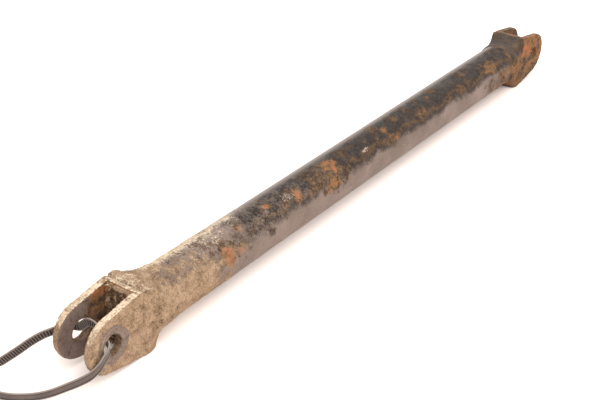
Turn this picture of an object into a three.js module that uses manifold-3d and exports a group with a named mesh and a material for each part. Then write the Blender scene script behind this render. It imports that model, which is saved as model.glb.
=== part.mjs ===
// Tow bar strut: a round steel tube with a welded plate fork at each end, and a nylon cable tie
// looped through the pin holes of one fork. Millimetres. X runs along the tube, Z is up, and the
// origin is on the floor below the middle of the tube. The forks' rear edges rest on the floor.
import * as THREE from 'three';
import { mergeVertices } from 'three/addons/utils/BufferGeometryUtils.js';
import Module from 'manifold-3d';

// Driving dimensions
const PIN_CENTRES = 800;        // from the pin holes of one fork to those of the other
const TUBE_DIAMETER = 50.8;
const TUBE_WALL = 4;
const FORK_WIDTH = 42;          // over the outer faces of the cheeks
const FORK_HEIGHT = 66;         // at the rear of the cheeks
const PLATE = 7;                // thickness of the cheeks and of the back plate
const NOSE_RADIUS = 26;
const PIN_HOLE = 20;
const PIN_TO_REAR = 40;         // from the pin hole's centre to the rear of the cheeks
const SHOULDER_LENGTH = 20;     // from the cheeks back to the tube's weld
const LAND_LENGTH = 3;          // round end of the shoulder, in line with the tube
const ROOT_GAP = 5;             // between the shoulder and the tube, filled by the ring weld
const SPIGOT_LENGTH = 30;       // inside the tube
const SPIGOT_CLEARANCE = 0.5;   // on the radius
const STRAP_WIDTH = 7.6;
const STRAP_THICKNESS = 1.6;
const STRAP_CHAMFER = 0.3;
const STRAP_STEPS = 78;
const HEAD_SIZE = [8.4, 12, 12.6];  // along the slot, along the strap's root, and up
const GAP = 0.3;                // between pieces that touch

const TUBE_RADIUS = TUBE_DIAMETER / 2;
const SPIGOT_RADIUS = TUBE_RADIUS - TUBE_WALL - SPIGOT_CLEARANCE;
const AXIS_HEIGHT = FORK_HEIGHT / 2;
const SHOULDER_END = PIN_TO_REAR + SHOULDER_LENGTH;
const TUBE_END = SHOULDER_END + ROOT_GAP;
const THROAT_HALF = FORK_WIDTH / 2 - PLATE;
const ARC_SEGMENTS = 16;        // steps in half a turn
const MERGE_DISTANCE = 1e-4;    // between vertices that are one

const wasm = await Module();
wasm.setup();

// ---- Solids ----

function solid(geometry) {
  const bare = geometry.index ? geometry.toNonIndexed() : geometry.clone();
  bare.deleteAttribute('normal');
  bare.deleteAttribute('uv');
  const merged = mergeVertices(bare, MERGE_DISTANCE);
  return new wasm.Manifold(new wasm.Mesh({
    numProp: 3,
    vertProperties: new Float32Array(merged.attributes.position.array),
    triVerts: new Uint32Array(merged.index.array),
  }));
}

function surface(body) {
  const mesh = body.getMesh();
  const geometry = new THREE.BufferGeometry();
  geometry.setAttribute('position', new THREE.BufferAttribute(new Float32Array(mesh.vertProperties), 3));
  geometry.setIndex(new THREE.BufferAttribute(new Uint32Array(mesh.triVerts), 1));
  geometry.computeVertexNormals();
  return geometry;
}

function cut(body, ...tools) {
  return surface(tools.reduce((left, tool) => left.subtract(solid(tool)), solid(body)));
}

// An outline in the XZ plane as a plate from y = from to y = to.
function plateAcross(shape, from, to) {
  const options = { depth: to - from, bevelEnabled: false, curveSegments: ARC_SEGMENTS };
  return new THREE.ExtrudeGeometry(shape, options).rotateX(Math.PI / 2).translate(0, to, 0);
}

// An outline in the XY plane as an upright prism, centred on z = 0.
function prism(points, height) {
  const shape = new THREE.Shape(points.map(([x, y]) => new THREE.Vector2(x, y)));
  const options = { depth: height, bevelEnabled: false };
  return new THREE.ExtrudeGeometry(shape, options).translate(0, 0, -height / 2);
}

// A profile of [x, radius] pairs turned about the X axis; it closes on itself.
function turned(profile) {
  const points = [...profile, profile[0]].map(([x, radius]) => new THREE.Vector2(radius, -x));
  return new THREE.LatheGeometry(points, 3 * ARC_SEGMENTS).rotateZ(Math.PI / 2);
}

// A closed skin over rings of points, each ring with the same number of points, turning
// anticlockwise when seen from the last ring.
function loft(rings) {
  const count = rings[0].length;
  const positions = rings.flat().flatMap((point) => point.toArray());
  const index = [];
  for (let ring = 0; ring + 1 < rings.length; ring += 1) {
    for (let k = 0; k < count; k += 1) {
      const a = ring * count + k;
      const b = ring * count + ((k + 1) % count);
      index.push(a, b, b + count, a, b + count, a + count);
    }
  }
  const last = (rings.length - 1) * count;
  for (let k = 1; k + 1 < count; k += 1) {
    index.push(0, k + 1, k, last, last + k, last + k + 1);
  }
  const geometry = new THREE.BufferGeometry();
  geometry.setAttribute('position', new THREE.Float32BufferAttribute(positions, 3));
  geometry.setIndex(index);
  geometry.computeVertexNormals();
  return geometry;
}

// ---- Materials ----

function finish(color, roughness, metalness) {
  return new THREE.MeshStandardMaterial({ color, roughness, metalness });
}

const materials = {
  paintedTube: finish(0x4a3f36, 0.75, 0.4),
  rustyPlate: finish(0xa58a6c, 0.9, 0.2),
  weldMetal: finish(0x6b4a34, 0.8, 0.4),
  nylon: finish(0x2b2725, 0.5, 0),
};

function piece(name, geometry, material) {
  const mesh = new THREE.Mesh(geometry, material);
  mesh.name = name;
  return mesh;
}

// ---- Fork, in its own frame: the pin holes at the origin, the tube towards +X ----

const REAR_HALF = FORK_HEIGHT / 2;
const CORNER_DISTANCE = Math.hypot(PIN_TO_REAR, REAR_HALF);
const TANGENT_ANGLE = Math.atan2(REAR_HALF, PIN_TO_REAR) + Math.acos(NOSE_RADIUS / CORNER_DISTANCE);
const SEAM_DEPTH = 3.5;         // of the V-groove between a cheek's rear edge and the shoulder
const SEAM_X = PIN_TO_REAR + GAP / 2;
const SEAM_HEIGHT = 56;
const SEAM_CROWN = 1.2;         // of the bead, proud of the cheek
const FILLET_LEG = 4;
const FILLET_HEIGHT = 58;
const RING_HALF_WIDTH = 5;
const RING_CROWN = 0.9;
// The crown of a bead's section, in shares of its half width and of its height.
const BEAD = [[1, 0], [0.75, 0.6], [0.3, 1], [-0.3, 1], [-0.75, 0.6], [-1, 0]];

// The side outline of the fork: a round nose, with straight edges that spread to the rear.
function forkOutline() {
  const shape = new THREE.Shape();
  shape.moveTo(PIN_TO_REAR, -REAR_HALF);
  shape.lineTo(PIN_TO_REAR, REAR_HALF);
  shape.absarc(0, 0, NOSE_RADIUS, TANGENT_ANGLE, -TANGENT_ANGLE, false);
  return shape;
}

function seamGroove(side) {
  const reach = 8;
  const root = FORK_WIDTH / 2 - SEAM_DEPTH;
  return prism([
    [SEAM_X, side * root],
    [SEAM_X + reach * side, side * (root + reach)],
    [SEAM_X - reach * side, side * (root + reach)],
  ], 2 * FORK_HEIGHT);
}

function cheek(side) {
  const outline = forkOutline();
  outline.holes.push(new THREE.Path().absarc(0, 0, PIN_HOLE / 2, 0, 2 * Math.PI, true));
  const faces = [side * THROAT_HALF, side * FORK_WIDTH / 2];
  return cut(plateAcross(outline, Math.min(...faces), Math.max(...faces)), seamGroove(side));
}

// The plate between the cheeks closes the throat at the rear.
function backPlate() {
  const front = PIN_TO_REAR - PLATE;
  const slope = (REAR_HALF - NOSE_RADIUS * Math.sin(TANGENT_ANGLE))
    / (PIN_TO_REAR - NOSE_RADIUS * Math.cos(TANGENT_ANGLE));
  const frontHalf = REAR_HALF - PLATE * slope;
  const outline = new THREE.Shape([
    new THREE.Vector2(front, -frontHalf),
    new THREE.Vector2(PIN_TO_REAR, -REAR_HALF),
    new THREE.Vector2(PIN_TO_REAR, REAR_HALF),
    new THREE.Vector2(front, frontHalf),
  ]);
  return plateAcross(outline, GAP - THROAT_HALF, THROAT_HALF - GAP);
}

// The shoulder blends the fork's oblong rear into the round tube, sooner above than below, and
// its spigot is in the tube.
function shoulder() {
  const sides = 4;
  const stepsPerSide = 10;
  const levels = 6;
  const front = PIN_TO_REAR + GAP;
  const loftLength = SHOULDER_END - LAND_LENGTH - front;
  const corner = Math.atan2(FORK_HEIGHT, FORK_WIDTH);
  const starts = [-corner, corner, Math.PI - corner, Math.PI + corner];
  const angles = [];
  for (let side = 0; side < sides; side += 1) {
    const next = side + 1 < sides ? starts[side + 1] : starts[0] + 2 * Math.PI;
    for (let k = 0; k < stepsPerSide; k += 1) {
      angles.push(THREE.MathUtils.lerp(starts[side], next, k / stepsPerSide));
    }
  }
  const ringAt = (x, across, up, down) => angles.map((angle) => {
    const c = Math.cos(angle);
    const s = Math.sin(angle);
    const oblong = 1 / Math.max(Math.abs(c) / (FORK_WIDTH / 2), Math.abs(s) / REAR_HALF);
    const y = THREE.MathUtils.lerp(oblong * c, TUBE_RADIUS * c, across);
    const z = THREE.MathUtils.lerp(oblong * s, TUBE_RADIUS * s, s > 0 ? up : down);
    return new THREE.Vector3(x, y, z);
  });
  const rings = [];
  for (let level = 0; level <= levels; level += 1) {
    const t = level / levels;
    rings.push(ringAt(front + t * loftLength, t * t, 1 - (1 - t) ** 2, t ** 4));
  }
  rings.push(ringAt(SHOULDER_END, 1, 1, 1));
  const spigotStart = PIN_TO_REAR + LAND_LENGTH;
  const spigotEnd = SHOULDER_END + ROOT_GAP + SPIGOT_LENGTH;
  const spigotMiddle = (spigotStart + spigotEnd) / 2;
  const spigot = new THREE.CylinderGeometry(
    SPIGOT_RADIUS, SPIGOT_RADIUS, spigotEnd - spigotStart, 3 * ARC_SEGMENTS,
  ).rotateZ(Math.PI / 2).translate(spigotMiddle, 0, 0);
  const body = solid(loft(rings)).add(solid(spigot));
  return surface(body.subtract(solid(seamGroove(1))).subtract(solid(seamGroove(-1))));
}

// The upright bead in the groove between a cheek and the shoulder.
function seamWeld(side) {
  const face = FORK_WIDTH / 2;
  const root = face - SEAM_DEPTH + GAP * Math.SQRT2;
  const half = face - root;
  const crown = BEAD.map(([across, up]) => [across * half, face + up * SEAM_CROWN]);
  const outline = [[0, root], ...crown];
  return prism(outline.map(([x, y]) => [SEAM_X + side * x, side * y]), SEAM_HEIGHT);
}

// The upright bead in the corner between the back plate and a cheek's inner face.
function throatWeld(side) {
  const x = PIN_TO_REAR - PLATE - GAP;
  const y = THROAT_HALF - GAP;
  const outline = [[0, 0], [-FILLET_LEG, 0], [0, -FILLET_LEG]];
  const ordered = side > 0 ? outline : outline.toReversed();
  return prism(ordered.map(([dx, dy]) => [x + dx, side * (y + dy)]), FILLET_HEIGHT);
}

// The girth weld: its root fills the gap round the spigot, and its cap laps both edges.
function ringWeld() {
  const inner = SPIGOT_RADIUS + GAP;
  const skin = TUBE_RADIUS + GAP;
  const middle = (SHOULDER_END + TUBE_END) / 2;
  const root = ROOT_GAP / 2 - GAP;
  const crown = BEAD.map(
    ([across, up]) => [middle + across * RING_HALF_WIDTH, skin + up * RING_CROWN],
  );
  return turned([
    [middle - root, skin], [middle - root, inner], [middle + root, inner], [middle + root, skin],
    ...crown,
  ]);
}

function fork(end) {
  const group = new THREE.Group();
  group.add(
    piece(`${end}_fork_back_plate`, backPlate(), materials.rustyPlate),
    piece(`${end}_fork_shoulder`, shoulder(), materials.rustyPlate),
    piece(`${end}_fork_ring_weld`, ringWeld(), materials.weldMetal),
  );
  for (const [hand, side] of [['left', 1], ['right', -1]]) {
    group.add(
      piece(`${end}_fork_${hand}_cheek`, cheek(side), materials.rustyPlate),
      piece(`${end}_fork_${hand}_seam_weld`, seamWeld(side), materials.weldMetal),
      piece(`${end}_fork_${hand}_throat_weld`, throatWeld(side), materials.weldMetal),
    );
  }
  return group;
}

// ---- Tube ----

function tube() {
  const half = PIN_CENTRES / 2 - TUBE_END;
  const bore = TUBE_RADIUS - TUBE_WALL;
  return turned([[-half, bore], [half, bore], [half, TUBE_RADIUS], [-half, TUBE_RADIUS]]);
}

// ---- Cable tie, in the object's frame ----

// The strap's centreline: from the head to the far cheek, through both pin holes, down over the
// near cheek to the floor, and round to the head again, where its tail goes through the slot.
const STRAP_ROUTE = [
  [-460.8, 74.6, 6.6], [-456.8, 70.2, 6.8], [-454.0, 64.6, 8.0], [-451.4, 58.2, 10.8],
  [-446.4, 51.4, 16.8], [-440.8, 44.6, 23.4], [-434.2, 37.8, 30.4], [-427.2, 31.0, 36.0],
  [-420.0, 25.8, 38.4], [-412.4, 24.0, 38.2], [-407.0, 23.0, 37.2], [-403.6, 19.6, 36.6],
  [-402.0, 14.6, 37.4], [-401.6, 9.4, 41.6], [-401.3, 4.6, 45.8], [-401.2, -1.0, 46.6],
  [-401.4, -6.6, 44.4], [-401.9, -11.8, 39.2], [-402.6, -16.4, 36.8], [-404.2, -21.2, 34.6],
  [-408.4, -24.0, 32.0], [-413.8, -24.4, 28.6], [-419.6, -24.3, 24.4], [-426.6, -21.4, 19.2],
  [-433.0, -15.2, 14.2], [-440.6, -7.0, 9.4], [-449.0, 0.6, 5.8], [-457.4, 7.8, 4.4],
  [-465.2, 15.8, 4.2], [-471.6, 25.2, 4.2], [-475.6, 35.8, 4.3], [-477.4, 47.0, 4.7],
  [-476.6, 58.2, 5.4], [-473.4, 68.6, 6.2], [-468.0, 77.6, 6.6], [-460.8, 87.2, 6.6],
  [-452.0, 99.0, 6.2], [-442.4, 112.4, 5.0], [-433.0, 126.0, 4.2], [-426.0, 136.6, 4.1],
];
const HEAD_CENTRE = [-468, 77.6, 6.6];
const SLOT_DIRECTION = [0.6, 0.8];
const SLOT_CLEARANCE = 0.4;     // on each side of the strap

// The strap stands on edge all the way along its route.
function strap() {
  const curve = new THREE.CatmullRomCurve3(
    STRAP_ROUTE.map((point) => new THREE.Vector3(...point)), false, 'catmullrom',
  );
  const half = [STRAP_THICKNESS / 2, STRAP_WIDTH / 2];
  const flat = half.map((size) => 1 - STRAP_CHAMFER / size);
  const section = [
    [1, flat[1]], [flat[0], 1], [-flat[0], 1], [-1, flat[1]],
    [-1, -flat[1]], [-flat[0], -1], [flat[0], -1], [1, -flat[1]],
  ];
  const rings = [];
  for (let step = 0; step <= STRAP_STEPS; step += 1) {
    const centre = curve.getPoint(step / STRAP_STEPS);
    const along = curve.getTangent(step / STRAP_STEPS);
    const side = new THREE.Vector3(-along.y, along.x, 0).normalize();
    const edge = new THREE.Vector3().crossVectors(along, side);
    rings.push(section.map(([a, b]) => centre.clone()
      .addScaledVector(side, a * half[0])
      .addScaledVector(edge, b * half[1])));
  }
  return loft(rings);
}

// The head is a block whose slot takes the tail; its root end meets the strap's start.
function head() {
  const [slotLength, rootLength, height] = HEAD_SIZE;
  const block = new THREE.BoxGeometry(slotLength, rootLength, height);
  const slot = new THREE.BoxGeometry(
    2 * slotLength,
    STRAP_THICKNESS + 2 * SLOT_CLEARANCE,
    STRAP_WIDTH + 2 * SLOT_CLEARANCE,
  );
  const angle = Math.atan2(SLOT_DIRECTION[1], SLOT_DIRECTION[0]);
  return cut(block, slot).rotateZ(angle).translate(...HEAD_CENTRE);
}

// ---- Assembly ----

const bar = new THREE.Group();
bar.position.z = AXIS_HEIGHT;
bar.add(piece('tube', tube(), materials.paintedTube));
const nearFork = fork('near');
nearFork.position.x = -PIN_CENTRES / 2;
const farFork = fork('far');
farFork.position.x = PIN_CENTRES / 2;
farFork.rotation.z = Math.PI;
bar.add(nearFork, farFork);

const assembly = new THREE.Group();
assembly.add(
  bar,
  piece('cable_tie_strap', strap(), materials.nylon),
  piece('cable_tie_head', head(), materials.nylon),
);

export default assembly;
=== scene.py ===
"""Looks of the tow bar strut: a muddy, rusty steel tube with a plate fork at each end and a
nylon cable tie through the near fork. Metres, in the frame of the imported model: X along the
tube, Z up, the forks' rear edges on the floor."""
import math

import bmesh
import bpy
from mathutils import Matrix, Vector, noise


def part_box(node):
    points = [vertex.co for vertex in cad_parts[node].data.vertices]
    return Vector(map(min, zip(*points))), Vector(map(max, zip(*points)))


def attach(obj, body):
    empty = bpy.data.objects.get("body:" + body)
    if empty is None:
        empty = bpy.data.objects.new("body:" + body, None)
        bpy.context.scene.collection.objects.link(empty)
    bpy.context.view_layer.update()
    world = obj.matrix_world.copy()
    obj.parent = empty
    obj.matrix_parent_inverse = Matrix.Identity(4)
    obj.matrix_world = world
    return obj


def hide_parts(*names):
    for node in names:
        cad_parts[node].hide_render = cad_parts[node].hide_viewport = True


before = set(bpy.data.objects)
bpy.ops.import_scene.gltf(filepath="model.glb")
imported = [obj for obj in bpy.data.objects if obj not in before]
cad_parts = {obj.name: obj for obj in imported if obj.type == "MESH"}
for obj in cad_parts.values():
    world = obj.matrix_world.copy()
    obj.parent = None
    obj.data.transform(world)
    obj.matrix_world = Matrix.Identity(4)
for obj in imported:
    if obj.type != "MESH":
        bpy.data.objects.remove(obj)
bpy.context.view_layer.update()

MM = 0.001
tube_low, tube_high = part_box("tube")
cheek_low, cheek_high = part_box("near_fork_right_cheek")
TUBE_RADIUS = (tube_high.z - tube_low.z) / 2
TUBE_HALF = tube_high.x
AXIS_Z = (tube_high.z + tube_low.z) / 2
NOSE_RADIUS = 26 * MM
PIN_HOLE_RADIUS = 10 * MM
PLATE_THICKNESS = 7 * MM
TUBE_WALL = 4 * MM
PIN_X = -cheek_low.x - NOSE_RADIUS      # of the far fork; the near fork's is the opposite
FORK_HALF_WIDTH = -cheek_low.y
THROAT_HALF = -cheek_high.y
CHEEK_REAR = -cheek_high.x              # where the cheeks end and the shoulders start
FORK_TOP = cheek_high.z


# ---- Camera ----

EYE = Vector((-0.9114, -0.5460, 0.5836))
VIEW = Vector((0.71869, 0.48814, -0.49518))
VIEW_UP = Vector((0.38992, 0.30671, 0.86827))
LENS_MM = 66.6
SENSOR_MM = 36


def make_camera():
    data = bpy.data.cameras.new("camera")
    data.lens = LENS_MM
    data.sensor_width = SENSOR_MM
    camera = bpy.data.objects.new("camera", data)
    bpy.context.scene.collection.objects.link(camera)
    right = VIEW.cross(VIEW_UP).normalized()
    up = right.cross(VIEW).normalized()
    turn = Matrix((right, up, -VIEW.normalized())).transposed()
    camera.matrix_world = Matrix.Translation(EYE) @ turn.to_4x4()
    bpy.context.scene.camera = camera


# ---- Small helpers ----

def clamp(value, low=0.0, high=1.0):
    return max(low, min(high, value))


def step(low, high, value):
    """A smooth step from 0 at low to 1 at high; low may be the larger."""
    t = clamp((value - low) / (high - low))
    return t * t * (3 - 2 * t)


def rough(point, size, octaves=3, seed=0.0):
    """Fractal noise from about -1 to 1, with features of the given size."""
    return noise.fractal(point / size + Vector((seed, 2 * seed, -seed)), 1.0, 2.0, octaves)


def new_object(name, mesh):
    thing = bpy.data.objects.new(name, mesh)
    bpy.context.scene.collection.objects.link(thing)
    return thing


def mesh_from(name, points, faces, smooth=True):
    mesh = bpy.data.meshes.new(name)
    mesh.from_pydata(points, [], faces)
    mesh.validate()
    if smooth:
        mesh.shade_smooth()
    return mesh


def place(piece, slot, material, *nodes):
    """Rides a finished piece on the one body, in place of the CAD nodes it stands for."""
    piece.data.materials.clear()
    piece.data.materials.append(material)
    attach(piece, "root")
    if nodes:
        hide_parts(*nodes)
    return piece


# ---- Cable tie ----

# The strap's centreline, as in the CAD model: from the head through both pin holes and back
# through the head's slot.
STRAP_ROUTE_MM = [
    (-460.8, 74.6, 6.6), (-456.8, 70.2, 6.8), (-454.0, 64.6, 8.0), (-451.4, 58.2, 10.8),
    (-446.4, 51.4, 16.8), (-440.8, 44.6, 23.4), (-434.2, 37.8, 30.4), (-427.2, 31.0, 36.0),
    (-420.0, 25.8, 38.4), (-412.4, 24.0, 38.2), (-407.0, 23.0, 37.2), (-403.6, 19.6, 36.6),
    (-402.0, 14.6, 37.4), (-401.6, 9.4, 41.6), (-401.3, 4.6, 45.8), (-401.2, -1.0, 46.6),
    (-401.4, -6.6, 44.4), (-401.9, -11.8, 39.2), (-402.6, -16.4, 36.8), (-404.2, -21.2, 34.6),
    (-408.4, -24.0, 32.0), (-413.8, -24.4, 28.6), (-419.6, -24.3, 24.4), (-426.6, -21.4, 19.2),
    (-433.0, -15.2, 14.2), (-440.6, -7.0, 9.4), (-449.0, 0.6, 5.8), (-457.4, 7.8, 4.4),
    (-465.2, 15.8, 4.2), (-471.6, 25.2, 4.2), (-475.6, 35.8, 4.3), (-477.4, 47.0, 4.7),
    (-476.6, 58.2, 5.4), (-473.4, 68.6, 6.2), (-468.0, 77.6, 6.6), (-460.8, 87.2, 6.6),
    (-452.0, 99.0, 6.2), (-442.4, 112.4, 5.0), (-433.0, 126.0, 4.2), (-426.0, 136.6, 4.1),
]
STRAP_WIDTH = 7.6 * MM
STRAP_THICKNESS = 1.6 * MM
TOOTH_PITCH = 2.5 * MM
TOOTH_DEPTH = 0.7 * MM
TOOTH_PROFILE = (0.0, 0.1, 1.0, 1.0)    # of one tooth, from its tip to the foot of the next
RINGS_PER_TOOTH = len(TOOTH_PROFILE)
PLAIN_ROOT = 14 * MM            # no teeth on the stretch next to the head
PLAIN_DEPTH = 0.15              # how far the inner face is sunk there, as a share of a tooth
TAIL_TAPER = 12 * MM            # the tail narrows over its last stretch
TAIL_WIDTH_SHARE = 0.55
CURVE_STEPS = 1500

RAIL_WIDTH = 1.0 * MM           # of the raised rails along the strap's edges
RAIL_HEIGHT = 0.35 * MM         # over the outer face
RAIL_SLOPE = 0.25 * MM
STRAP_CORNER = 0.25 * MM
GROOVE_NEAR = 0.3 * MM          # the painted shade's width in the groove beside a rail, and where it has faded out
GROOVE_FAR = 0.8 * MM

# Painted light from 0, painted shade in black, to 1, a painted highlight in grey.
GROOVE_SHADE = 0.0
FACE_SHEEN = 0.56
RAIL_HIGHLIGHT = 0.7
INNER_RAIL_HIGHLIGHT = 0.75
CORNER_HIGHLIGHT = 0.8
EDGE_HIGHLIGHT = 1.0
TEETH_HIGHLIGHT = 0.72
HEAD_SHEEN = 0.55


def catmull_rom(points, steps):
    """Points along the same uniform Catmull-Rom curve as the CAD strap's."""
    spans = len(points) - 1
    ends = [2 * points[0] - points[1]] + points + [2 * points[-1] - points[-2]]
    line = []
    for k in range(steps + 1):
        at = min(k / steps * spans, spans - 1e-9)
        i = int(at)
        t = at - i
        a, b, c, d = ends[i:i + 4]
        line.append(0.5 * (2 * b + (c - a) * t + (2 * a - 5 * b + 4 * c - d) * t * t
                           + (3 * b - a - 3 * c + d) * t ** 3))
    return line


def evenly(line, spacing):
    """The same line with its points the given distance apart."""
    lengths = [0.0]
    for a, b in zip(line, line[1:]):
        lengths.append(lengths[-1] + (b - a).length)
    count = round(lengths[-1] / spacing)
    result, i = [], 0
    for k in range(count + 1):
        want = lengths[-1] * k / count
        while i < len(line) - 2 and lengths[i + 1] < want:
            i += 1
        share = (want - lengths[i]) / (lengths[i + 1] - lengths[i])
        result.append(line[i].lerp(line[i + 1], clamp(share)))
    return result, lengths[-1]


def strap_section(tooth, width_share):
    """The strap's outline as (outward, upward, painted light): rails on both faces, teeth on the
    inner.
    """
    half_t = STRAP_THICKNESS / 2
    half_w = STRAP_WIDTH / 2 * width_share
    rail = RAIL_WIDTH * width_share
    outer = half_t - RAIL_HEIGHT
    inner = -half_t + tooth * TOOTH_DEPTH
    foot = half_w - rail - RAIL_SLOPE
    upper = [
        (outer, foot - GROOVE_FAR, FACE_SHEEN),
        (outer, foot - GROOVE_NEAR, GROOVE_SHADE),
        (outer, foot, GROOVE_SHADE),
        (half_t, half_w - rail, RAIL_HIGHLIGHT),
        (half_t, half_w - STRAP_CORNER, CORNER_HIGHLIGHT),
        (half_t - STRAP_CORNER, half_w, EDGE_HIGHLIGHT),
        (STRAP_CORNER - half_t, half_w, EDGE_HIGHLIGHT),
        (-half_t, half_w - STRAP_CORNER, CORNER_HIGHLIGHT),
        (-half_t, half_w - rail, INNER_RAIL_HIGHLIGHT),
        (inner, foot, TEETH_HIGHLIGHT * (1 - tooth)),
    ]
    lower = [(a, -b, painted_light) for a, b, painted_light in reversed(upper)]
    return upper + lower


def make_strap(material):
    coarse = catmull_rom([Vector(p) * MM for p in STRAP_ROUTE_MM], CURVE_STEPS)
    centres, length = evenly(coarse, TOOTH_PITCH / RINGS_PER_TOOTH)
    points, faces, worn = [], [], []
    for k, centre in enumerate(centres):
        along = (centres[min(k + 1, len(centres) - 1)] - centres[max(k - 1, 0)]).normalized()
        side = Vector((-along.y, along.x, 0)).normalized()
        edge = along.cross(side)
        at = k / (len(centres) - 1) * length
        tooth = TOOTH_PROFILE[k % RINGS_PER_TOOTH] if at > PLAIN_ROOT else PLAIN_DEPTH
        to_end = clamp((length - at) / TAIL_TAPER)
        share = TAIL_WIDTH_SHARE + (1 - TAIL_WIDTH_SHARE) * step(0, 1, to_end)
        for a, b, painted_light in strap_section(tooth, share):
            points.append(centre + side * a + edge * b)
            worn.append(painted_light)
    ring = len(strap_section(0, 1))
    for k in range(len(centres) - 1):
        for i in range(ring):
            a, b = k * ring + i, k * ring + (i + 1) % ring
            faces.append((a, b, b + ring, a + ring))
    faces.append(tuple(range(ring - 1, -1, -1)))
    last = (len(centres) - 1) * ring
    faces.append(tuple(range(last, last + ring)))
    mesh = mesh_from("tie_strap", points, faces, smooth=False)
    # these values are painted light: shade in the grooves and at the teeth's roots, highlights on the
    # rails, edges and tooth tips
    mesh.attributes.new("worn", "FLOAT", "POINT").data.foreach_set("value", worn)
    strap = place(new_object("tie_strap", mesh), "tie_nylon", material, "cable_tie_strap")
    return strap, centres, length


HEAD_SIZE = (8.2 * MM, 11.8 * MM, 12.4 * MM)
HEAD_TURN = math.atan2(0.8, 0.6)        # about the upright, so that the slot takes the tail
HEAD_BEVEL = 1.1 * MM
SLOT_SIZE = (20 * MM, 2.3 * MM, 8.3 * MM)
RECESS_SIZE = (2 * MM, 5.2 * MM, 9.6 * MM)
RECESS_AT = (4.2 * MM, 0, 0)


def add_block(bm, size, at=(0, 0, 0)):
    matrix = Matrix.Translation(at) @ Matrix.Diagonal((*size, 1))
    bmesh.ops.create_cube(bm, size=1, matrix=matrix)


def object_from(name, bm):
    mesh = bpy.data.meshes.new(name)
    bm.to_mesh(mesh)
    bm.free()
    return new_object(name, mesh)


def make_tie_head(material):
    """A rounded block with a slot for the tail and a shallow recess at the slot's mouth."""
    low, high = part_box("cable_tie_head")
    turn = Matrix.Rotation(HEAD_TURN, 3, "Z")
    centre = (low + high) / 2
    bm = bmesh.new()
    add_block(bm, HEAD_SIZE)
    edges = list(bm.edges)
    bmesh.ops.bevel(bm, geom=edges, offset=HEAD_BEVEL, segments=4, profile=0.6, affect="EDGES")
    head = object_from("tie_head", bm)
    cutter_bm = bmesh.new()
    add_block(cutter_bm, SLOT_SIZE)
    add_block(cutter_bm, RECESS_SIZE, RECESS_AT)
    cutter = object_from("tie_slot", cutter_bm)
    boolean = head.modifiers.new("slot", "BOOLEAN")
    boolean.operation = "DIFFERENCE"
    boolean.object = cutter
    boolean.solver = "EXACT"
    boolean.use_self = True
    depsgraph = bpy.context.evaluated_depsgraph_get()
    result = bpy.data.meshes.new_from_object(head.evaluated_get(depsgraph))
    head.modifiers.clear()
    head.data = result
    bpy.data.objects.remove(cutter)
    head.data.transform(Matrix.Translation(centre) @ turn.to_4x4())
    # the head gets the same faint painted sheen as the strap's faces
    painted_light = head.data.attributes.new("worn", "FLOAT", "POINT").data
    painted_light.foreach_set("value", [HEAD_SHEEN] * len(painted_light))
    return place(head, "tie_nylon", material, "cable_tie_head")


# ---- Where mud, rust and worn metal lie, and where light and shade are painted ----

MASKS = ("mud", "rust", "tone", "film", "haze", "dust", "pale", "grime", "bare")

# x in millimetres along the tube, and the angle round it in degrees, from 0 at the top to 90 on
# the camera's side and -90 on the far side.

# Rust on the tube: (x, angle, half length, half angle, strength, tone from brown 0 to orange 1).
RUST_SPOTS = [
    (-251, 64, 8, 20, 1.0, 0.95), (-236, 66, 8, 14, 0.95, 0.6), (-247, -14, 10, 10, 0.7, 0.7),
    (-266, -12, 7, 8, 0.5, 0.4), (-221, 26, 6, 12, 0.75, 0.7), (-192, 36, 9, 18, 0.6, 0.15),
    (-188, 66, 8, 14, 0.55, 0.3), (-177, 20, 4, 8, 0.8, 1.0), (-134, 40, 7, 15, 0.8, 0.75),
    (-140, 58, 12, 8, 0.5, 0.3), (-69, 22, 10, 18, 0.9, 0.8), (-62, 42, 7, 16, 0.8, 0.35),
    (-82, 63, 12, 15, 0.9, 0.65), (-74, 42, 17, 32, 0.72, 0.45),
    (-246, 56, 18, 26, 0.65, 0.42), (-45, 50, 9, 14, 0.5, 0.2), (-15, 44, 12, 14, 0.55, 0.35),
    (35, 22, 4, 10, 0.7, 0.7), (46, 54, 5, 8, 0.7, 0.7), (88, 20, 6, 9, 0.45, 0.3),
    (103, 42, 9, 16, 0.7, 0.35), (137, 10, 3, 10, 0.6, 0.6), (160, 50, 16, 7, 0.6, 0.45),
    (187, 24, 8, 10, 0.5, 0.2), (218, 46, 13, 17, 0.6, 0.3), (277, 40, 17, 18, 0.95, 0.5),
    (292, 58, 12, 9, 0.6, 0.2), (332, 40, 9, 40, 0.8, 0.4), (-152, -92, 12, 16, 0.7, 0.45),
    (-96, -118, 8, 10, 0.6, 0.3), (-24, -108, 14, 14, 0.7, 0.5), (58, -84, 8, 12, 0.6, 0.6),
    (128, -126, 18, 12, 0.6, 0.3), (196, -98, 16, 18, 0.75, 0.5), (288, -116, 14, 22, 0.7, 0.35),
]
# Pale patches where the rust has been scraped or salt has dried, given the same way.
PALE_SPOTS = [
    (-147, 31, 6, 9, 0.9, 0), (-10, 36, 6, 6, 1.0, 0), (-300, 18, 5, 5, 0.5, 0),
    (-258, 10, 18, 20, 0.9, 0), (-228, 0, 16, 14, 0.7, 0), (-280, 24, 14, 16, 0.75, 0),
    (-200, -8, 16, 12, 0.4, 0),
]


def round_tube(point):
    """The point's place along the tube in millimetres, and its angle in degrees."""
    return point.x / MM, math.degrees(math.atan2(-point.y, point.z - AXIS_Z))


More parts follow.
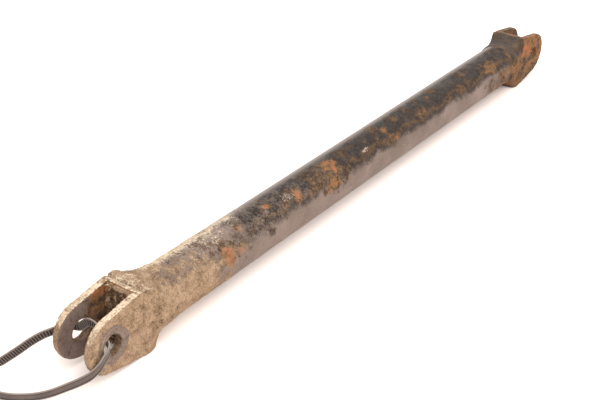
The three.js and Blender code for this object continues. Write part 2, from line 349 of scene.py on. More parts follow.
def spot_cover(spots, x, angle, wander):
    """How much of the strongest spot reaches a place, and that spot's tone."""
    best, tone = 0.0, 0.0
    for spot_x, spot_angle, half_x, half_angle, strength, spot_tone in spots:
        across = abs((angle - spot_angle + 180) % 360 - 180) / half_angle
        along = abs(x - spot_x) / half_x
        if along > 3 or across > 3:
            continue
        reach = 0.85 * math.hypot(along, across) + wander
        cover = strength * step(2.0, 0.3, reach)
        if cover > best:
            best, tone = cover, 0.66 * spot_tone * (0.5 + 0.5 * step(1.5, 0.3, reach))
    return best, tone


def tube_masks(point, normal):
    x, angle = round_tube(point)
    broad = rough(point, 28 * MM, 3, 3.1)
    fine = rough(point, 7 * MM, 3, 8.4)
    wander = 0.6 * rough(point, 9 * MM, 4, 1.7)
    rust, tone = spot_cover(RUST_SPOTS, x, angle, wander)
    edge = angle + 11 * broad + 5 * fine
    upper = step(88, 42, edge) * step(-140, -90, edge)
    loose = step(-0.05, 0.6, rough(point, 22 * MM, 4, 5.5) + 0.3 * fine)
    hem = step(28, 46, edge) * step(68, 50, edge)       # brown along the film's upper edge
    sheltered = step(-5, -30, angle) * step(-95, -65, angle)
    dusted = step(-200, -245, x + 20 * broad)           # the stretch before the mud
    scattered = max((0.3 + 0.5 * loose) * (1 - sheltered), 0.55 * hem) * upper * (1 - 0.5 * dusted)
    if scattered > rust:
        rust, tone = scattered, 0.22 + 0.12 * hem
    brown = step(200, 345, x + 20 * broad) * step(55, 75, angle)    # the flank by the far fork
    if 0.8 * brown > rust:
        rust, tone = 0.8 * brown, 0.36
    cap = step(-5, -22, angle)          # mud reaches further along past the top, on the back
    mud = step(-215 + 22 * cap, -300 + 30 * cap, x + 26 * broad + 9 * fine)
    stain = step(-16, 2, edge) * step(66, 42, edge) * step(-215, -250, x) * step(-346, -334, x)
    stain *= 0.6 + 0.4 * step(-0.35, 0.3, broad + 0.5 * fine)
    # painted top light: the mud paler on the top and far side of the tube
    painted_top_light = step(26, -24, angle) * step(-125, -40, angle) * step(-165, -250, x + 20 * broad)
    mud *= 1 - 0.6 * stain
    film = max(1 - upper, 0.85 * stain, 0.85 * dusted, 0.6 * mud)
    pale, _ = spot_cover(PALE_SPOTS, x, angle, wander)
    return {
        "mud": mud, "rust": rust, "tone": tone, "film": film,
        # painted sheen: the grazing reflection of the bright room, grey along the top and far side of
        # the tube
        "haze": step(-1, -34, angle) * step(-96, -58, angle + 10 * broad),
        "dust": 0.12 + 0.88 * step(-20, -210, x + 40 * broad),
        "pale": max(0.45 * pale, (0.62 + 0.3 * fine) * painted_top_light),
        # the stain and dark specks on the upper part, and painted shade on the underside below the
        # camera-side flank
        "grime": 0.42 * stain + 0.22 * step(0.1, 0.7, fine) * upper
        + 0.3 * step(88, 120, angle + 8 * fine),
        "bare": 0.0,
    }


WORN_CENTRE = Vector((1 * MM, 0, 0.5 * MM))     # of the ring worn round the hole, from the pin
WORN_EDGE = (20.0, 15.5)        # millimetres from it where bare metal starts and is full
WORN_LINE = 13.5                # the radius of a muddier line inside the ring
BORE_REACH = 0.8 * MM           # how far past a pin hole's edge a point still counts as inside it
THROAT_REACH = 1 * MM           # the same for the throat's sides


def near_fork_masks(point, normal):
    """Mud all over, worn bare round the holes, dark with dirt inside the throat and darker in the pin
    holes, with painted top light where the mud faces up and a line of painted shade under the upper
    rim.
    """
    side = abs(normal.y) > 0.6
    from_pin = math.hypot(point.x + PIN_X, point.z - AXIS_Z)
    worn = math.hypot(point.x + PIN_X - WORN_CENTRE.x, point.z - AXIS_Z - WORN_CENTRE.z)
    inner = abs(point.y) < THROAT_HALF + THROAT_REACH
    in_throat = inner and point.x < -CHEEK_REAR - 5 * MM and normal.z < 0.6
    outside = side and abs(point.y) > FORK_HALF_WIDTH - 1 * MM and point.x < -CHEEK_REAR
    broad = rough(point, 18 * MM, 3, 2.3)
    fine = rough(point, 4 * MM, 3, 6.1)
    masks = dict.fromkeys(MASKS, 0.0)
    masks.update(mud=1.0, tone=0.3, film=1.0)
    nose = step(-PIN_X - 2 * MM, -PIN_X - 18 * MM, point.x + 5 * MM * broad)
    if from_pin < PIN_HOLE_RADIUS + BORE_REACH and not (side and not inner and not outside):
        masks.update(grime=0.35, mud=0.25, rust=0.55, tone=0.4)
    elif in_throat:
        deep = step(-PIN_X - 2 * MM, -PIN_X + 24 * MM, point.x + 8 * MM * broad)
        masks.update(
            mud=0.25 * deep * step(0, 0.5, fine), film=0.9,
            grime=0.28 + 0.1 * deep + 0.25 * fine,
            rust=0.3 + 0.6 * deep, tone=0.3 + 0.35 * deep * step(50, 60, point.z / MM) + 0.2 * fine,
        )
    elif outside:
        edge = worn / MM + 2.4 * broad + 0.8 * fine
        bare = step(*WORN_EDGE, edge) * (1 - 0.45 * step(1.6, 0.3, abs(edge - WORN_LINE)))
        masks.update(
            bare=0.62 * bare, mud=1 - 0.7 * bare, rust=0.6 * nose * step(0.0, 0.5, broad + 0.4),
        )
        # painted shade: a dark line just inside the upper rim of the camera-side cheek
        if point.y < 0 and point.x < -CHEEK_REAR - 1 * MM and point.z > AXIS_Z:
            under_rim = outline_distance(point) / MM
            line = step(3.6 + fine, 2.2, under_rim) * step(0.6, 1.6, under_rim)
            masks["grime"] = 0.45 * line * step(-PIN_X + 2 * MM, -PIN_X + 20 * MM, point.x)
    else:
        rust = 0.5 * step(0.2, 0.6, broad + 0.4 * fine)
        # painted top light: the mud paler where it faces up
        painted_top_light = step(0.3, 0.75, normal.z + 0.1 * fine)
        masks.update(rust=rust, tone=0.7, mud=1 - 0.6 * rust, grime=0.25 * step(0.25, 0.7, fine),
                     pale=(0.62 + 0.25 * broad) * painted_top_light * (1 - rust))
    return masks


def outline_distance(point):
    """How far inside a cheek's side outline a point is: from its round nose and straight edges."""
    x, z = PIN_X - abs(point.x), abs(point.z - AXIS_Z)
    half = FORK_TOP - AXIS_Z
    reach = PIN_X - CHEEK_REAR
    tangent = math.atan2(half, reach) + math.acos(NOSE_RADIUS / math.hypot(reach, half))
    along = x * math.cos(tangent) + z * math.sin(tangent)
    if math.atan2(z, x) > tangent:
        return NOSE_RADIUS - math.hypot(x, z)
    return NOSE_RADIUS - along


# Rust and paint on the camera side of the far fork: (x, z, radius in x, in z, strength, tone).
FAR_FACE_SPOTS = [
    (362, 47, 13, 6, 1.0, 1.0), (381, 42, 7, 9, 0.9, 0.8), (392, 31, 7, 7, 0.9, 0.05),
    (404, 52, 9, 6, 0.7, 0.45), (352, 30, 4, 18, 0.9, 0.55), (388, 20, 8, 5, 0.7, 0.5),
    (346, 40, 8, 9, 0.8, 0.5), (372, 28, 9, 8, 0.5, 0.2),
]


def far_fork_masks(point, normal):
    """Rust under scraped brown-black paint, with painted sheen on what faces up and painted shade
    inside the throat, in the pin holes and near the floor.
    """
    broad = rough(point, 16 * MM, 3, 9.3)
    fine = rough(point, 5 * MM, 3, 4.6)
    x, z = point.x / MM, point.z / MM
    masks = dict.fromkeys(MASKS, 0.0)
    rust, tone = 0.85 + 0.15 * step(-0.3, 0.4, broad), 0.38 + 0.12 * fine + 0.1 * broad
    if point.y < -THROAT_HALF and x > CHEEK_REAR / MM - 14:
        tone += 0.12 - 0.16 * step(34, 12, z)
        for spot_x, spot_z, half_x, half_z, strength, spot_tone in FAR_FACE_SPOTS:
            reach = math.hypot((x - spot_x) / half_x, (z - spot_z) / half_z) + 0.4 * broad
            share = strength * step(1.5, 0.4, reach)
            rust = max(rust, share)
            tone += (0.8 * spot_tone - tone) * share
    crown = step(372, 356, x) * step(36, 50, z)     # paint is left on the top of the shoulder
    # painted sheen: lighter on what faces up, where the light from above falls
    up = step(0.45, 0.9, normal.z + 0.2 * fine)
    inside = abs(point.y) < THROAT_HALF + THROAT_REACH and x > 368
    bore = math.hypot(point.x - PIN_X, point.z - AXIS_Z) < PIN_HOLE_RADIUS + BORE_REACH
    masks.update(
        rust=rust * (1 - 0.6 * crown), tone=tone, film=0.12 + 0.4 * broad,
        haze=0.25 * up * (1 - 0.5 * crown), dust=0.1,
        # painted shade inside the throat and the pin holes, and near the floor
        grime=clamp(0.45 * (inside or bore) + 0.5 * step(12, 2, z)),
    )
    return masks


# ---- Relief ----

def relief(masks, point):
    """How far the surface stands out, in metres."""
    lumps = rough(point, 5 * MM, 4, 12.7)
    grains = rough(point, 1.8 * MM, 2, 21.2)
    swell = rough(point, 14 * MM, 2, 30.9)
    height = masks["mud"] * (0.25 + 0.38 * lumps + 0.22 * grains + 0.25 * swell)
    height += masks["rust"] * (0.05 + 0.14 * lumps + 0.12 * grains)
    height += masks["grime"] * 0.25 * lumps
    return MM * (height + 0.05 * swell)


CORNER_LENGTH = 7 * MM          # of the cheeks' worn upper rear corners


def worn_height(point):
    """How high a piece may reach: lower towards the cheeks' rear corners, higher behind them."""
    into_corner = max(0.0, CHEEK_REAR + CORNER_LENGTH - abs(point.x)) / MM
    if into_corner > 7.5:
        return FORK_TOP + 1.0 * MM
    return FORK_TOP - (0.8 + 0.055 * into_corner ** 2) * MM


def weather(mesh, masks_of, extra=None):
    """Moves each point out by the relief and keeps the masks as attributes for the material."""
    layers = {name: [] for name in MASKS}
    moved = []
    for vertex in mesh.vertices:
        point, normal = vertex.co.copy(), vertex.normal.copy()
        masks = masks_of(point, normal)
        height = relief(masks, point)
        if extra:
            height += extra(point, normal)
        for name in MASKS:
            layers[name].append(clamp(masks[name]))
        point += normal * height
        point.z = clamp(point.z, 0.05 * MM, worn_height(point))
        moved.append(point)
    for vertex, point in zip(mesh.vertices, moved):
        vertex.co = point
    for name in MASKS:
        attribute = mesh.attributes.new(name, "FLOAT", "POINT")
        attribute.data.foreach_set("value", layers[name])
    mesh.update()


# ---- Materials ----

def tint(code):
    """A linear colour from a six-figure sRGB code."""
    parts = [int(code[i:i + 2], 16) / 255 for i in (0, 2, 4)]
    return (*(c / 12.92 if c <= 0.04045 else ((c + 0.055) / 1.055) ** 2.4 for c in parts), 1.0)


# The Mix node's sockets for colours, which share their names with its other sockets.
MIX_COLOUR_A, MIX_COLOUR_B, MIX_COLOUR_RESULT = 6, 7, 2


class Tree:
    """A material's nodes, made one line at a time."""

    def __init__(self, name):
        self.material = bpy.data.materials.new(name)
        self.material.use_nodes = True
        self.nodes = self.material.node_tree.nodes
        self.links = self.material.node_tree.links
        self.nodes.clear()
        self.place = self.node("ShaderNodeTexCoord").outputs["Object"]

    def node(self, kind, inputs=None, **settings):
        made = self.nodes.new(kind)
        for key, value in settings.items():
            setattr(made, key, value)
        for key, value in (inputs or {}).items():
            self.feed(made.inputs[key], value)
        return made

    def feed(self, socket, value):
        if isinstance(value, bpy.types.NodeSocket):
            self.links.new(value, socket)
        else:
            socket.default_value = value

    def math(self, operation, a, b):
        return self.node("ShaderNodeMath", {0: a, 1: b}, operation=operation).outputs[0]

    def weighted(self, a, share_a, b, share_b):
        """The sum of two values, each times its share."""
        return self.math("ADD", self.math("MULTIPLY", a, share_a), self.math("MULTIPLY", b, share_b))

    def noise(self, size, detail=3.0, roughness=0.55, shift=0.0):
        """Noise from 0 to 1 with features of a size in metres."""
        moved = self.node("ShaderNodeVectorMath", {0: self.place, 1: (shift, -shift, shift)},
                          operation="ADD").outputs[0]
        made = self.node("ShaderNodeTexNoise", {
            "Vector": moved, "Scale": 1 / size, "Detail": detail, "Roughness": roughness,
        })
        return made.outputs["Fac"]

    def attribute(self, name):
        return self.node("ShaderNodeAttribute", attribute_name=name).outputs["Fac"]

    def stretch(self, value, low, high, out_low=0.0, out_high=1.0):
        made = self.node("ShaderNodeMapRange", {
            "Value": value, "From Min": low, "From Max": high, "To Min": out_low, "To Max": out_high,
        })
        return made.outputs["Result"]

    def ragged(self, mask, grain, reach, softness):
        """A mask whose edge breaks up into the grain of a noise, where 0 stays 0 and 1 stays 1."""
        threshold = self.stretch(grain, 0.3, 0.7, 0.5 - reach / 2, 0.5 + reach / 2)
        grown = self.math("MULTIPLY", mask, 1 + softness)
        return self.stretch(self.math("SUBTRACT", grown, threshold), 0.0, softness)

    def ramp(self, value, stops):
        made = self.node("ShaderNodeValToRGB", {"Fac": value})
        bar = made.color_ramp
        bar.elements[0].position, bar.elements[0].color = stops[0][0], tint(stops[0][1])
        bar.elements[1].position, bar.elements[1].color = stops[-1][0], tint(stops[-1][1])
        for position, code in stops[1:-1]:
            bar.elements.new(position).color = tint(code)
        return made.outputs["Color"]

    def mix(self, share, a, b):
        made = self.node("ShaderNodeMix", {"Factor": share, "A": a, "B": b}, data_type="FLOAT")
        return made.outputs["Result"]

    def mix_colour(self, share, a, b):
        made = self.node("ShaderNodeMix", data_type="RGBA")
        self.feed(made.inputs["Factor"], share)
        self.feed(made.inputs[MIX_COLOUR_A], a)
        self.feed(made.inputs[MIX_COLOUR_B], b)
        return made.outputs[MIX_COLOUR_RESULT]

    def finish(self, colour, roughness, height=None, bump_depth=1 * MM, gloss=0.5):
        shader = self.node("ShaderNodeBsdfPrincipled", {"Base Color": colour, "Roughness": roughness})
        if height is not None:
            bump = self.node("ShaderNodeBump", {"Height": height, "Distance": bump_depth})
            self.links.new(bump.outputs["Normal"], shader.inputs["Normal"])
        shader.inputs["Specular IOR Level"].default_value = gloss
        output = self.node("ShaderNodeOutputMaterial")
        self.links.new(shader.outputs["BSDF"], output.inputs["Surface"])
        return self.material


GRIT = "75644f"
DUST = "7a6c61"
# From here down: a grey for a painted sheen, a cream for pale spots and painted top light, a black
# for painted shade and a grey for painted highlights.
SHEEN_GREY = "958981"
PALE_AND_TOP_LIGHT = "d0bda4"
SHADE_BLACK = "100c0b"
HIGHLIGHT_GREY = "94867d"


def weathered_steel(name, paint_roughness):
    """Black paint under a dull film, rust, dried mud and dirt, with painted sheen, painted top light
    and painted shade, laid over each other by masks.
    """
    t = Tree(name)
    grain = t.noise(1.3 * MM, 4, 0.6)
    speck = t.noise(2.6 * MM, 4, 0.65, 0.3)
    blotch = t.noise(9 * MM, 4, 0.6, 0.7)
    cloud = t.noise(34 * MM, 3, 0.5, 1.1)
    fleck = t.noise(1.9 * MM, 2, 0.5, 1.9)

    patch = t.weighted(blotch, 0.6, speck, 0.4)
    paint = t.ramp(patch, [(0.36, "100b0a"), (0.48, "1a110e"), (0.58, "2b1f18"), (0.70, "48372a")])
    film = t.ramp(t.weighted(cloud, 0.5, grain, 0.5),
                  [(0.34, "55463e"), (0.50, "695951"), (0.66, "7b6a62")])
    shade = t.math("ADD", t.stretch(blotch, 0.34, 0.66, -0.32, 0.32),
                   t.stretch(speck, 0.33, 0.67, -0.36, 0.36))
    keen = t.stretch(t.attribute("tone"), 0.0, 1.0, 0.35, 1.0)      # dull rust varies less
    tone = t.math("ADD", t.attribute("tone"), t.math("MULTIPLY", shade, keen))
    rust = t.ramp(tone, [(0.0, "281e1a"), (0.2, "402f23"), (0.42, "664c30"), (0.60, "80512e"),
                         (0.80, "8e522e"), (1.0, "9c5f3a")])
    soil = t.weighted(blotch, 0.45, grain, 0.55)
    mud = t.ramp(soil, [(0.31, "483629"), (0.41, "69543f"), (0.50, "866e57"), (0.66, "a68d73")])
    bare = t.ramp(speck, [(0.3, "55483f"), (0.5, "6f6056"), (0.7, "84766b")])
    # the dirt's colour, which also lays the painted shade
    dirt = t.ramp(soil, [(0.32, "1c130d"), (0.44, "402e22"), (0.54, "614c3b"), (0.68, "8a7962")])

    film_mask = t.ragged(t.attribute("film"), speck, 0.7, 0.9)
    patches = t.weighted(blotch, 0.65, speck, 0.35)
    rust_mask = t.ragged(t.attribute("rust"), patches, 0.9, 0.6)
    mud_mask = t.ragged(t.attribute("mud"), speck, 0.9, 0.4)
    bare_mask = t.ragged(t.attribute("bare"), speck, 0.6, 0.5)
    grime_and_shade_mask = t.ragged(t.attribute("grime"), speck, 0.8, 0.5)
    pale_mask = t.ragged(t.attribute("pale"), fleck, 0.6, 0.5)
    dusty = t.stretch(t.weighted(fleck, 0.35, patches, 0.65), 0.46, 0.66)
    dust_mask = t.math("MULTIPLY", t.math("MULTIPLY", dusty, t.attribute("dust")), 0.8)
    haze_mask = t.math("MULTIPLY", t.attribute("haze"), t.stretch(grain, 0.2, 0.8, 0.55, 0.95))

    colour = t.mix_colour(film_mask, paint, film)
    colour = t.mix_colour(rust_mask, colour, rust)
    grit = t.math("MULTIPLY", t.stretch(grain, 0.55, 0.72), 0.4)
    colour = t.mix_colour(grit, colour, tint(GRIT))
    colour = t.mix_colour(dust_mask, colour, tint(DUST))
    # painted sheen in grey over the dark paint
    colour = t.mix_colour(t.math("MULTIPLY", haze_mask, 0.85), colour, tint(SHEEN_GREY))
    colour = t.mix_colour(mud_mask, colour, mud)
    # pale spots, and painted top light on the mud
    colour = t.mix_colour(t.math("MULTIPLY", pale_mask, 0.8), colour, tint(PALE_AND_TOP_LIGHT))
    colour = t.mix_colour(bare_mask, colour, bare)
    # dirt, and painted shade under the rim, in the far fork's throat and pin holes, on the tube's
    # underside and near the floor
    colour = t.mix_colour(t.math("MULTIPLY", grime_and_shade_mask, 0.92), colour, dirt)

    dull = paint_roughness
    for mask, roughness in ((film_mask, 0.5), (rust_mask, 0.85), (dust_mask, 0.9),
                            (mud_mask, 0.95), (bare_mask, 0.55), (grime_and_shade_mask, 0.9)):
        dull = t.mix(mask, dull, roughness)

    coarse = t.weighted(rust_mask, 0.3, mud_mask, 0.6)
    height = t.math("MULTIPLY", grain, t.math("ADD", coarse, 0.12))
    height = t.math("ADD", height, t.math("MULTIPLY", speck, t.math("MULTIPLY", coarse, 1.2)))
    return t.finish(colour, dull, height, 0.8 * MM, gloss=0.2)


def nylon():
    """Black nylon, a little glossy, with the faint mottling of dust and handling, and painted shade
    and highlights on its grooves, rails, edges and teeth.
    """
    t = Tree("black_nylon")
    cloud = t.noise(11 * MM, 4, 0.6)
    grain = t.noise(0.5 * MM, 3, 0.6, 0.4)
    colour = t.ramp(t.weighted(cloud, 0.7, grain, 0.3),
                    [(0.3, "2c2422"), (0.5, "403532"), (0.72, "584a44")])
    # painted shade in black, then painted highlights in grey
    painted_shade = t.stretch(t.attribute("worn"), 0.5, 0.0)
    colour = t.mix_colour(painted_shade, colour, tint(SHADE_BLACK))
    painted_highlight = t.stretch(t.attribute("worn"), 0.5, 1.0, 0.0, 0.7)
    colour = t.mix_colour(painted_highlight, colour, tint(HIGHLIGHT_GREY))
    dull = t.stretch(cloud, 0.3, 0.7, 0.3, 0.46)
    return t.finish(colour, dull, grain, 0.05 * MM, gloss=0.4)


# ---- Tube and forks ----

TUBE_AROUND = 150
TUBE_ROW = 1.15 * MM


def make_tube(material):
    """The tube's outer skin as a fine grid, its bore as a plain one, closed at both ends."""
    around, length = TUBE_AROUND, 2 * TUBE_HALF
    rows = round(length / TUBE_ROW)
    bore = TUBE_RADIUS - TUBE_WALL
    rings = [(-TUBE_HALF + length * k / rows, TUBE_RADIUS) for k in range(rows + 1)]
    rings += [(TUBE_HALF, bore), (-TUBE_HALF, bore)]
    points, faces = [], []
    for x, radius in rings:
        for i in range(around):
            angle = 2 * math.pi * i / around
            points.append(Vector((x, -radius * math.sin(angle), AXIS_Z + radius * math.cos(angle))))
    for k in range(len(rings)):
        a, b = k * around, (k + 1) % len(rings) * around
        for i in range(around):
            j = (i + 1) % around
            faces.append((a + i, a + j, b + j, b + i))
    mesh = mesh_from("tube_skin", points, faces)
    weather(mesh, tube_masks)
    return place(new_object("tube_skin", mesh), "painted_tube", material, "tube")


def skin(node, voxel, rounds, grow):
    """A fine, soft-edged copy of a CAD node, which may be grown outwards to close gaps."""
    thing = new_object(node + "_skin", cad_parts[node].data.copy())
    remesh = thing.modifiers.new("remesh", "REMESH")
    remesh.mode = "VOXEL"
    remesh.voxel_size = voxel
    remesh.use_smooth_shade = True
    soften = thing.modifiers.new("soften", "SMOOTH")
    soften.iterations = rounds
    if grow:
        swell = thing.modifiers.new("grow", "DISPLACE")
        swell.strength = grow
        swell.mid_level = 0
    depsgraph = bpy.context.evaluated_depsgraph_get()
    mesh = bpy.data.meshes.new_from_object(thing.evaluated_get(depsgraph))
    mesh.name = thing.name
    thing.modifiers.clear()
    thing.data = mesh
    return thing


WELD_RIPPLE = 2.4 * MM          # from one scale of a weld to the next
RIPPLE_HEIGHT = 0.28 * MM
SEAM_RIPPLE_HEIGHT = 0.25 * MM
RIPPLE_LAG = 0.9                # how far a ring's scales trail at its edges
RING_WIDTH = 5 * MM


def ring_ripple(point, normal):
    """The overlapping scales of a hand weld laid round the tube, curved across its width."""
    angle = math.atan2(point.y, point.z - AXIS_Z)
    lag = RIPPLE_LAG * (abs(point.x) - TUBE_HALF - RING_WIDTH / 2) ** 2 / RING_WIDTH ** 2
    turn = angle * TUBE_RADIUS / WELD_RIPPLE + lag
    return RIPPLE_HEIGHT * (turn - math.floor(turn)) ** 2


def bore_scale(point, normal):
    """Rust scale that narrows the far fork's pin holes."""
    from_pin = math.hypot(point.x - PIN_X, point.z - AXIS_Z)
    if abs(normal.y) > 0.7 or from_pin > PIN_HOLE_RADIUS + 1 * MM:
        return 0.0
    return (1.0 + 0.5 * rough(point, 4 * MM, 2, 17.0)) * MM


def seam_ripple(point, normal):
    """The same scales on the upright welds."""
    turn = point.z / WELD_RIPPLE
    return SEAM_RIPPLE_HEIGHT * (turn - math.floor(turn)) ** 2


VOXEL = 0.75 * MM
EDGE_ROUNDS = 7         # of smoothing, which wears the edges round


def make_fork(end, plate, weld):
    masks_of = near_fork_masks if end == "near" else far_fork_masks
    # (name, material, slot, how far it is grown, its own relief)
    parts = [
        ("back_plate", plate, "rusty_plate", 0.35 * MM, None),
        ("shoulder", plate, "rusty_plate", 0.3 * MM, None),
        ("ring_weld", weld, "weld_metal", 0.2 * MM, ring_ripple),
    ]
    for hand in ("left", "right"):
        parts += [
            (f"{hand}_cheek", plate, "rusty_plate", 0.0, bore_scale if end == "far" else None),
            (f"{hand}_seam_weld", weld, "weld_metal", 0.35 * MM, seam_ripple),
            (f"{hand}_throat_weld", weld, "weld_metal", 0.35 * MM, seam_ripple),
        ]
    for name, material, slot, grow, extra in parts:
        node = f"{end}_fork_{name}"
        piece = skin(node, VOXEL, EDGE_ROUNDS, grow)
        weather(piece.data, masks_of, extra)
        place(piece, slot, material, node)


# ---- Dried mud on the near fork ----

SHOULDER_FRONT = CHEEK_REAR - 0.3 * MM
SHOULDER_LOFT = 16.7 * MM
OUTLINE_SLOPE = (FORK_TOP - AXIS_Z - NOSE_RADIUS) / (PIN_X - CHEEK_REAR)
# How thick the mud lies on the near fork's top, and on its sides and below:
# (distance along the tube from the middle, thickness), in millimetres.
MUD_ON_TOP = [(366, -0.6), (362, 0.1), (356, 0.3), (344, 0.4), (320, 0.3), (312, -0.8)]
MUD_ON_SIDES = [(366, -0.6), (362, 0.5), (360, 0.3), (356, 1.2), (350, 2.2), (344, 2.4),
                (336, 1.4), (328, 0.9), (320, 0.4), (312, -0.8)]
# The mud's crown: (distance, height above the axis, how much lower it is at the cheeks' faces).
MUD_CROWN = [(366, 30.6, 0.5), (362, 31.4, 1.0), (356, 32.2, 2.0), (350, 31.6, 3.2), (344, 29.9, 6),
             (338, 28.0, 9), (330, 26.7, 11), (320, 26.0, 12), (312, 24.0, 12)]
# The same thicknesses for the paint and scale that smooth the far fork's welds.
SCALE_ON_TOP = [(363, -0.6), (361, 0.3), (354, 1.0), (347, 1.6), (340, 1.8), (334, 1.3),
                (328, -0.5)]
SCALE_ON_SIDES = [(363, -0.6), (361, 0.3), (354, 0.9), (345, 1.1), (338, 1.6), (333, 1.3),
                  (328, -0.5)]


def between(table, at):
    """The value at a place in a table of (place, value) pairs with falling places."""
    for (place_a, a), (place_b, b) in zip(table, table[1:]):
        if at >= place_b:
            return a + (b - a) * step(0, 1, (place_a - at) / (place_a - place_b))
    return table[-1][1]


def steel_section(along, angle):
    """The steel's outline under the mud as (y, z) from the axis; angle 0 is +Y, 90 degrees up."""
    c, s = math.cos(angle), math.sin(angle)
    half = FORK_TOP - AXIS_Z - max(0, along - CHEEK_REAR) * OUTLINE_SLOPE
    oblong = 1 / max(abs(c) / FORK_HALF_WIDTH, abs(s) / half)
    t = clamp((SHOULDER_FRONT - along) / SHOULDER_LOFT)
    up = 1 - (1 - t) ** 2 if s > 0 else t ** 4
    across = t * t
    widening = TUBE_RADIUS - oblong
    return (oblong + widening * across) * c, (oblong + widening * up) * s


def filled(crown, along, y, z):
    """The height that the crust is filled up to on top, where its crown is given."""
    height = between([(x, top) for x, top, drop in crown], along / MM)
    drop = between([(x, drop) for x, top, drop in crown], along / MM)
    return max(z, MM * (height - drop * (abs(y) / FORK_HALF_WIDTH) ** 3))


CRUST_AROUND = 200
CRUST_ROW = 0.8 * MM
CRUST_ROOT = 1.5 * MM           # how deep the crusts and the throat's dirt reach into the steel


def make_collar(name, sign, on_top, on_sides, crown, lumpy, masks_of, material):
    """A crust that fills the corner between a fork and the tube, over the shoulder and welds."""
    around = CRUST_AROUND
    start, end = on_top[0][0] * MM, on_top[-1][0] * MM
    rows = round((start - end) / CRUST_ROW)
    points, faces = [], []
    stations = [start + (end - start) * k / rows for k in range(rows + 1)]
    rings = [(along, True) for along in stations] + [(along, False) for along in reversed(stations)]
    for along, outer in rings:
        for i in range(around):
            angle = 2 * math.pi * i / around
            y, z = steel_section(along, angle)
            out = Vector((0, y, z)).normalized()
            thick = -CRUST_ROOT
            if outer and crown and z > 0:
                z = filled(crown, along, y, z)
            if outer:
                at = Vector((sign * along, y, z))
                top = clamp(math.sin(angle))
                thick = MM * (between(on_top, along / MM) * top
                              + between(on_sides, along / MM) * (1 - top))
                lumps = 0.7 * rough(at, 9 * MM, 3, 41.0) + 0.35 * rough(at, 3 * MM, 2, 7.7)
                thick += step(0.0, 1.2 * MM, thick) * lumpy * MM * lumps
            points.append(Vector((sign * along, y, z + AXIS_Z)) + out * thick)
    for k in range(len(rings)):
        a, b = k * around, (k + 1) % len(rings) * around
        for i in range(around):
            j = (i + 1) % around
            face = (a + i, b + i, b + j, a + j)
            faces.append(face if sign > 0 else face[::-1])
    mesh = mesh_from(name, points, faces)
    weather(mesh, masks_of)
    return place(new_object(name, mesh), "rusty_plate", material)


def collar_masks(point, normal):
    """Mud, paler where it faces up and along the top's far side as painted top light, dark specks on
    the flank and a grey stain above them.
    """
    x, angle = round_tube(point)
    broad = rough(point, 20 * MM, 3, 2.3)
    fine = rough(point, 4.5 * MM, 3, 6.1)
    masks = dict.fromkeys(MASKS, 0.0)
    specks = step(0.15, 0.55, fine + 0.3 * broad) * step(30, 80, angle) * step(130, 100, angle)
    masks.update(mud=1.0, film=1.0, tone=0.3, grime=0.55 * specks, dust=1.0)
    # painted top light on what faces up
    painted_top_light = step(0.3, 1.0, normal.z + 0.3 * fine) * step(-332, -356, x + 8 * broad)
    masks["pale"] = painted_top_light * (0.36 + 0.2 * fine)
    patch = step(-343, -328, x + 5 * fine)
    patch *= step(-2, 14, angle + 6 * fine)
    patch *= step(62, 46, angle + 6 * broad)
    masks["mud"] = 1 - (0.45 + 0.3 * fine) * patch
    masks["grime"] = max(masks["grime"], 0.42 * patch)
    # painted top light along the far side of the top, next to the fork
    masks["pale"] = max(masks["pale"], 0.5 * step(14, -24, angle) * step(-345, -330, x))
    return masks


DIRT_SIDE_GAP = 0.4 * MM        # left free in the throat's width
DIRT_LOW = 3 * MM
DIRT_HIGH = FORK_TOP - 2.5 * MM
DIRT_COLUMNS = 44
DIRT_ROWS = 92


def make_throat_dirt(material):
    """Crusty clumps of dirt on the back wall of the near fork's throat."""
    width, low, high = 2 * THROAT_HALF - DIRT_SIDE_GAP, DIRT_LOW, DIRT_HIGH
    columns, rows = DIRT_COLUMNS, DIRT_ROWS
    wall = -(CHEEK_REAR + PLATE_THICKNESS)
    points, faces = [], []
    for front in (True, False):
        for row in range(rows + 1):
            for column in range(columns + 1):
                u, v = column / columns, row / rows
                y, z = width * (u - 0.5), low + (high - low) * v
                x = wall + CRUST_ROOT
                if front:
                    at = Vector((0, y, z))
                    clump = 1.6 + 2.4 * rough(at, 8 * MM, 3, 15.2) + 0.9 * rough(at, 3 * MM, 2, 3.3)
                    corner = 2.6 * (step(0.22, 0.0, u) + step(0.78, 1.0, u))
                    x = wall - MM * max(0.2, clump + corner) * step(0, 0.06, v) * step(1.04, 0.93, v)
                points.append(Vector((x, y, z)))
    stride = columns + 1
    back = stride * (rows + 1)
    for row in range(rows):
        for column in range(columns):
            a = row * stride + column
            faces.append((a, a + stride, a + stride + 1, a + 1))
            faces.append((back + a, back + a + 1, back + a + stride + 1, back + a + stride))
    border = list(range(columns))
    border += [row * stride + columns for row in range(rows)]
    border += [rows * stride + column for column in range(columns, 0, -1)]
    border += [row * stride for row in range(rows, 0, -1)]
    for a, b in zip(border, border[1:] + border[:1]):
        faces.append((a, b, back + b, back + a))
    mesh = mesh_from("near_throat_dirt", points, faces)
    weather(mesh, throat_dirt_masks)
    return place(new_object("near_throat_dirt", mesh), "rusty_plate", material)


def throat_dirt_masks(point, normal):
    """Dark dirt over rust, with mud in patches and along the upper rim."""
    broad = rough(point, 14 * MM, 3, 22.3)
    fine = rough(point, 4 * MM, 3, 16.1)
    masks = dict.fromkeys(MASKS, 0.0)
    rim = step(57, 62, point.z / MM + 2 * fine)
    masks.update(
        rust=0.8, tone=0.3 + 0.3 * broad, film=0.3,
        mud=max(rim, 0.85 * step(-0.25, 0.35, fine + 0.4 * broad)),
        grime=(0.38 + 0.5 * broad - 0.5 * fine) * (1 - rim),
    )
    return masks


# ---- Floor and light ----

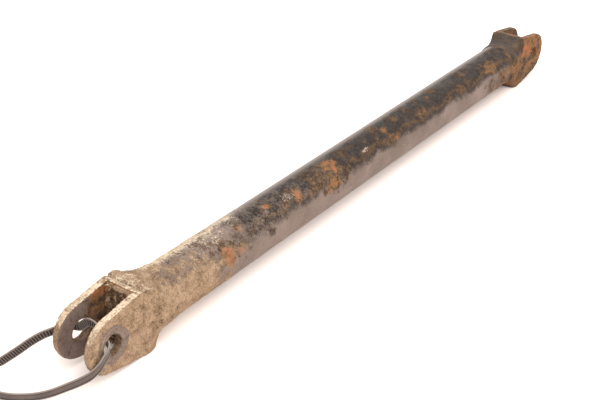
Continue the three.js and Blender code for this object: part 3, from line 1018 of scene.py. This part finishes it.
FLOOR_HALF = 6.0
SKY_COLOUR = (1.0, 0.985, 0.97, 1)
SKY_STRENGTH = 1.3


def make_stage():
    mesh = bpy.data.meshes.new("floor")
    half = FLOOR_HALF
    corners = [(-half, -half, 0), (half, -half, 0), (half, half, 0), (-half, half, 0)]
    mesh.from_pydata(corners, [], [(0, 1, 2, 3)])
    floor = new_object("floor", mesh)
    t = Tree("floor_paper")
    colour = t.ramp(t.noise(0.5, 2, 0.5), [(0.3, "f8ece5"), (0.7, "fbf1eb")])
    floor.data.materials.append(t.finish(colour, 0.8))


def area_light(name, at, towards, size, power):
    data = bpy.data.lights.new(name, "AREA")
    data.shape = "DISK"
    data.size = size
    data.energy = power
    lamp = bpy.data.objects.new(name, data)
    bpy.context.scene.collection.objects.link(lamp)
    aim = (Vector(towards) - Vector(at)).to_track_quat("-Z", "Y")
    lamp.matrix_world = Matrix.Translation(at) @ aim.to_matrix().to_4x4()


def make_light():
    world = bpy.data.worlds.new("studio")
    bpy.context.scene.world = world
    world.use_nodes = True
    background = world.node_tree.nodes["Background"]
    background.inputs["Color"].default_value = SKY_COLOUR
    background.inputs["Strength"].default_value = SKY_STRENGTH
    area_light("key", (-0.4, -1.0, 2.2), (0, 0, 0), size=2.4, power=46)
    area_light("fill", (-1.2, -1.6, 1.3), (-0.3, 0, 0), size=0.7, power=12)
    bpy.context.scene.view_settings.view_transform = "Standard"


# ---- Making ----

make_camera()
tie_nylon = nylon()
strap, strap_centres, strap_length = make_strap(tie_nylon)
tie_head = make_tie_head(tie_nylon)
make_tube(weathered_steel("painted_tube", 0.4))
plate_steel = weathered_steel("rusty_plate", 0.5)
weld_steel = weathered_steel("weld_metal", 0.5)
for fork_end in ("near", "far"):
    make_fork(fork_end, plate_steel, weld_steel)
make_collar("near_fork_mud", -1, MUD_ON_TOP, MUD_ON_SIDES, MUD_CROWN, lumpy=0.8,
            masks_of=collar_masks, material=plate_steel)
make_collar("far_fork_scale", 1, SCALE_ON_TOP, SCALE_ON_SIDES, None, lumpy=0.25,
            masks_of=far_fork_masks, material=plate_steel)
make_throat_dirt(plate_steel)
make_stage()
make_light()
